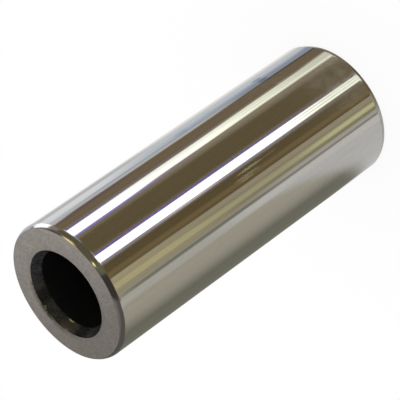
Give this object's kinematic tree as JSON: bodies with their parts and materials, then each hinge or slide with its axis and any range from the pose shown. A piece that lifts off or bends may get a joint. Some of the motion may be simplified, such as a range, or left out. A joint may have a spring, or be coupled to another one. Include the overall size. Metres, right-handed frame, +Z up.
{
  "type": "gudgeon pin",
  "caption": "Hollow cylindrical steel pin with a lapped running surface, rounded lead-in edges and countersunk bore mouths; joins a piston to its connecting rod.",
  "frame": {"origin": "centre of the lower end face, on the surface that the pin stands on", "axes": "+Z up along the pin's axis, from the lower end face to the upper one; +X and +Y are any two square radii"},
  "size_m": [0.035, 0.035, 0.092],
  "materials": {
    "lapped_steel": "case-hardened steel, bare and unplated: mirror-lapped outside, satin ground end faces, dark as-drilled bore"
  },
  "bodies": {
    "root": {"gudgeon_pin": "lapped_steel"}
  },
  "joints": []
}
